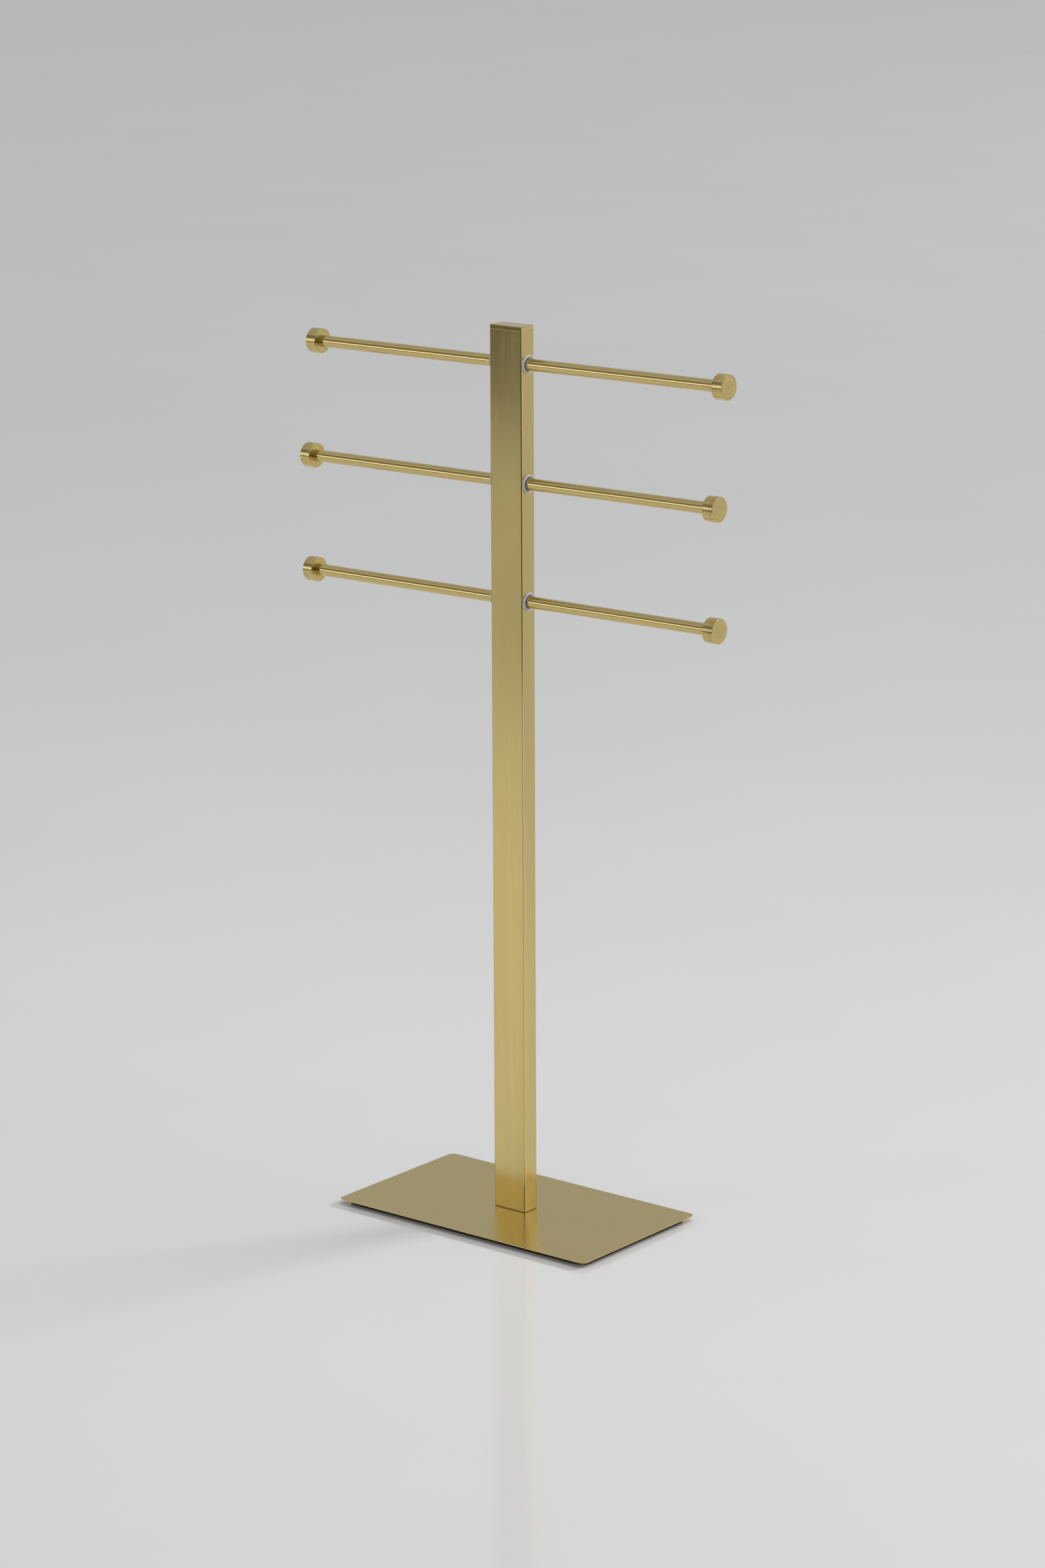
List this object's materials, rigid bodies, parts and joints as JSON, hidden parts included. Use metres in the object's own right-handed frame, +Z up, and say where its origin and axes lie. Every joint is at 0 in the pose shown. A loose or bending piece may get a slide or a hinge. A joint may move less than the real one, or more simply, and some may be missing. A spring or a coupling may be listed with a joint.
{
  "type": "free-standing towel rack",
  "caption": "Free-standing towel rack: flat weighted base, rectangular post and straight rods with round end caps that slide through the post.",
  "frame": {"origin": "centre of the pad's underside, on the floor straight below the post", "axes": "X along the rods, Y from front to back, +Z up the post"},
  "size_m": [0.529, 0.185, 0.9133],
  "materials": {
    "brushed_gold": "stainless steel with a satin brushed gold coating",
    "polished_gold": "cast cap with a polished gold coating",
    "black_painted_steel": "matt black powder coat on steel plate",
    "black_rubber": "matt black rubber",
    "white_nylon": "natural white moulded nylon",
    "plain_steel": "plain or zinc-plated steel"
  },
  "bodies": {
    "stand": {"base_non_slip_pad": "black_rubber", "base_weight_slab": "black_painted_steel", "base_cover_sheet": "brushed_gold", "base_screw_left": "plain_steel", "base_screw_right": "plain_steel", "post_foot_gasket": "black_rubber", "post_foot_block": "plain_steel", "post_tube": "brushed_gold", "post_top_cap": "polished_gold", "rod_bushing_top_left": "white_nylon", "rod_bushing_top_right": "white_nylon", "rod_bushing_middle_left": "white_nylon", "rod_bushing_middle_right": "white_nylon", "rod_bushing_bottom_left": "white_nylon", "rod_bushing_bottom_right": "white_nylon"},
    "rod_top": {"rod_tube_top": "brushed_gold", "end_cap_top_left": "brushed_gold", "rod_plug_top_left": "plain_steel", "cap_stud_top_left": "plain_steel", "end_cap_top_right": "brushed_gold", "rod_plug_top_right": "plain_steel", "cap_stud_top_right": "plain_steel"},
    "rod_middle": {"rod_tube_middle": "brushed_gold", "end_cap_middle_left": "brushed_gold", "rod_plug_middle_left": "plain_steel", "cap_stud_middle_left": "plain_steel", "end_cap_middle_right": "brushed_gold", "rod_plug_middle_right": "plain_steel", "cap_stud_middle_right": "plain_steel"},
    "rod_bottom": {"rod_tube_bottom": "brushed_gold", "end_cap_bottom_left": "brushed_gold", "rod_plug_bottom_left": "plain_steel", "cap_stud_bottom_left": "plain_steel", "end_cap_bottom_right": "brushed_gold", "rod_plug_bottom_right": "plain_steel", "cap_stud_bottom_right": "plain_steel"}
  },
  "joints": [
    {"name": "top_rod_slide", "type": "slide", "parent": "stand", "child": "rod_top", "axis": [1, 0, 0], "range_m": [-0.2281, 0.2229]},
    {"name": "middle_rod_slide", "type": "slide", "parent": "stand", "child": "rod_middle", "axis": [1, 0, 0], "range_m": [-0.2181, 0.2329]},
    {"name": "bottom_rod_slide", "type": "slide", "parent": "stand", "child": "rod_bottom", "axis": [1, 0, 0], "range_m": [-0.2191, 0.2319]}
  ]
}
